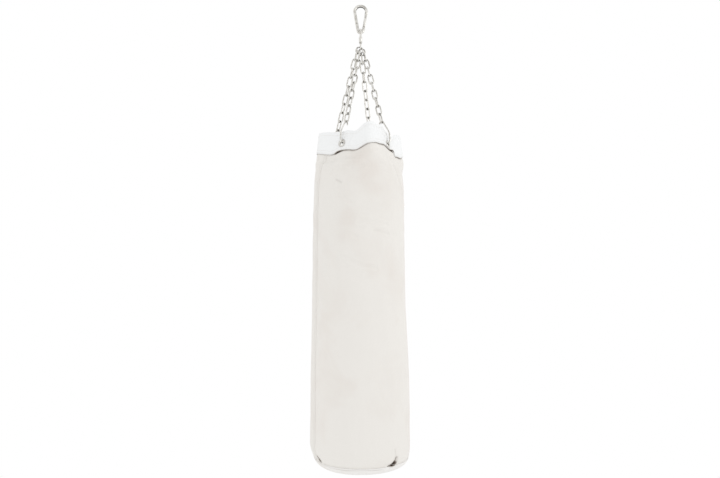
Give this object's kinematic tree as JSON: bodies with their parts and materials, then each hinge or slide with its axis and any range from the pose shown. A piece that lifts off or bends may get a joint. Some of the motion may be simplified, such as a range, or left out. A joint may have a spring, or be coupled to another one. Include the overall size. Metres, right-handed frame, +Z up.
{
  "type": "hanging punching bag",
  "caption": "Tall round canvas punching bag with a squared collar band, hung by short welded chains from a swivel and a pear-shaped snap hook.",
  "frame": {"origin": "bearing point inside the top bow of the snap hook, where the bag hangs", "axes": "+Z up along the bag, +X to the right of the picture, -Y towards the viewer"},
  "size_m": [0.3014, 0.3014, 1.4743],
  "materials": {
    "plated_steel": "bright plated",
    "washer_brass": "plain",
    "collar_canvas": "white woven canvas, matt",
    "body_canvas": "off-white woven canvas, matt",
    "textile_filling": "packed textile"
  },
  "bodies": {
    "snap_hook": {"carabiner_body": "plated_steel", "gate_rivet": "plated_steel"},
    "gate": {"carabiner_gate": "plated_steel", "gate_nose_pin": "plated_steel", "gate_spring": "plated_steel"},
    "swivel_upper": {"swivel_barrel": "plated_steel", "swivel_washer": "washer_brass"},
    "swivel_lower": {"swivel_shank": "plated_steel"},
    "bag": {"ring_left": "plated_steel", "ring_right": "plated_steel", "link_back_left_1": "plated_steel", "link_back_left_2": "plated_steel", "link_back_left_3": "plated_steel", "link_back_left_4": "plated_steel", "link_back_left_5": "plated_steel", "link_back_left_6": "plated_steel", "link_back_left_7": "plated_steel", "link_back_left_8": "plated_steel", "link_back_left_9": "plated_steel", "link_front_left_1": "plated_steel", "link_front_left_2": "plated_steel", "link_front_left_3": "plated_steel", "link_front_left_4": "plated_steel", "link_front_left_5": "plated_steel", "link_front_left_6": "plated_steel", "link_front_left_7": "plated_steel", "link_front_left_8": "plated_steel", "link_front_left_9": "plated_steel", "link_back_right_1": "plated_steel", "link_back_right_2": "plated_steel", "link_back_right_3": "plated_steel", "link_back_right_4": "plated_steel", "link_back_right_5": "plated_steel", "link_back_right_6": "plated_steel", "link_back_right_7": "plated_steel", "link_back_right_8": "plated_steel", "link_back_right_9": "plated_steel", "link_front_right_1": "plated_steel", "link_front_right_2": "plated_steel", "link_front_right_3": "plated_steel", "link_front_right_4": "plated_steel", "link_front_right_5": "plated_steel", "link_front_right_6": "plated_steel", "link_front_right_7": "plated_steel", "link_front_right_8": "plated_steel", "link_front_right_9": "plated_steel", "s_hook_back_left": "plated_steel", "s_hook_front_left": "plated_steel", "s_hook_back_right": "plated_steel", "s_hook_front_right": "plated_steel", "grommet_back_left": "plated_steel", "grommet_front_left": "plated_steel", "grommet_back_right": "plated_steel", "grommet_front_right": "plated_steel", "collar_band": "collar_canvas", "top_cover": "collar_canvas", "canvas_body": "body_canvas", "base_panel": "body_canvas", "side_seam": "body_canvas", "filling": "textile_filling"}
  },
  "joints": [
    {"name": "gate_hinge", "type": "hinge", "parent": "snap_hook", "child": "gate", "pos_m": [0.0117, 0, -0.064], "axis": [0, -1, 0], "range_deg": [0, 25], "stiffness_Nm_per_rad": 0.05, "springref_deg": -17.19},
    {"name": "hook_swing", "type": "hinge", "parent": "snap_hook", "child": "swivel_upper", "pos_m": [0, 0, -0.089], "axis": [1, 0, 0], "range_deg": [-60, 60]},
    {"name": "swivel_turn", "type": "hinge", "parent": "swivel_upper", "child": "swivel_lower", "pos_m": [0, 0, -0.127], "axis": [0, 0, 1], "continuous": true},
    {"name": "ring_swing", "type": "hinge", "parent": "swivel_lower", "child": "bag", "pos_m": [0, 0, -0.1499], "axis": [0, 1, 0], "range_deg": [-40, 40]}
  ]
}
